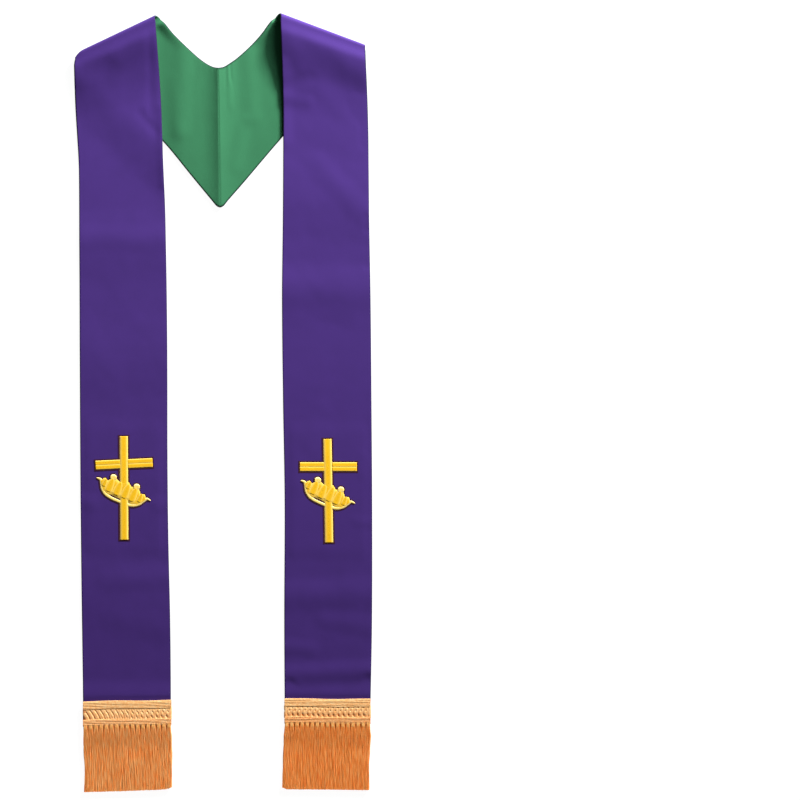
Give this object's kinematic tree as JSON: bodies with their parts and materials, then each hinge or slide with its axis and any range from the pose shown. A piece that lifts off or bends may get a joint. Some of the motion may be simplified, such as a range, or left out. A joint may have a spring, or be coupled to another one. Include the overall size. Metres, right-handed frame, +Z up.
{
  "type": "clergy stole laid flat",
  "caption": "Reversible clergy stole with a pointed back, laid flat: lined purple and green bands with an embroidered cross and crown and fringed hems.",
  "frame": {"origin": "middle of the stole's footprint, on the surface that it lies on", "axes": "+X across the stole towards its right front as it is seen from above, +Y from the hems to the neck, +Z up from the surface"},
  "size_m": [0.443, 1.1578, 0.0171],
  "materials": {
    "purple_cloth": "matte twill, purple, with a faint sheen",
    "green_cloth": "matte twill, green, with a faint sheen",
    "gold_trim": "woven rayon braid, pale gold",
    "gold_fringe": "loose twisted rayon yarn, old gold",
    "gold_thread": "satin-stitch embroidery, bright gold"
  },
  "bodies": {
    "root": {"left_purple_band": "purple_cloth", "right_purple_band": "purple_cloth", "left_green_band": "green_cloth", "right_green_band": "green_cloth", "left_trim_face": "gold_trim", "right_trim_face": "gold_trim", "left_trim_under": "gold_trim", "right_trim_under": "gold_trim", "left_fringe": "gold_fringe", "right_fringe": "gold_fringe", "left_emblem": "gold_thread", "right_emblem": "gold_thread"}
  },
  "joints": []
}
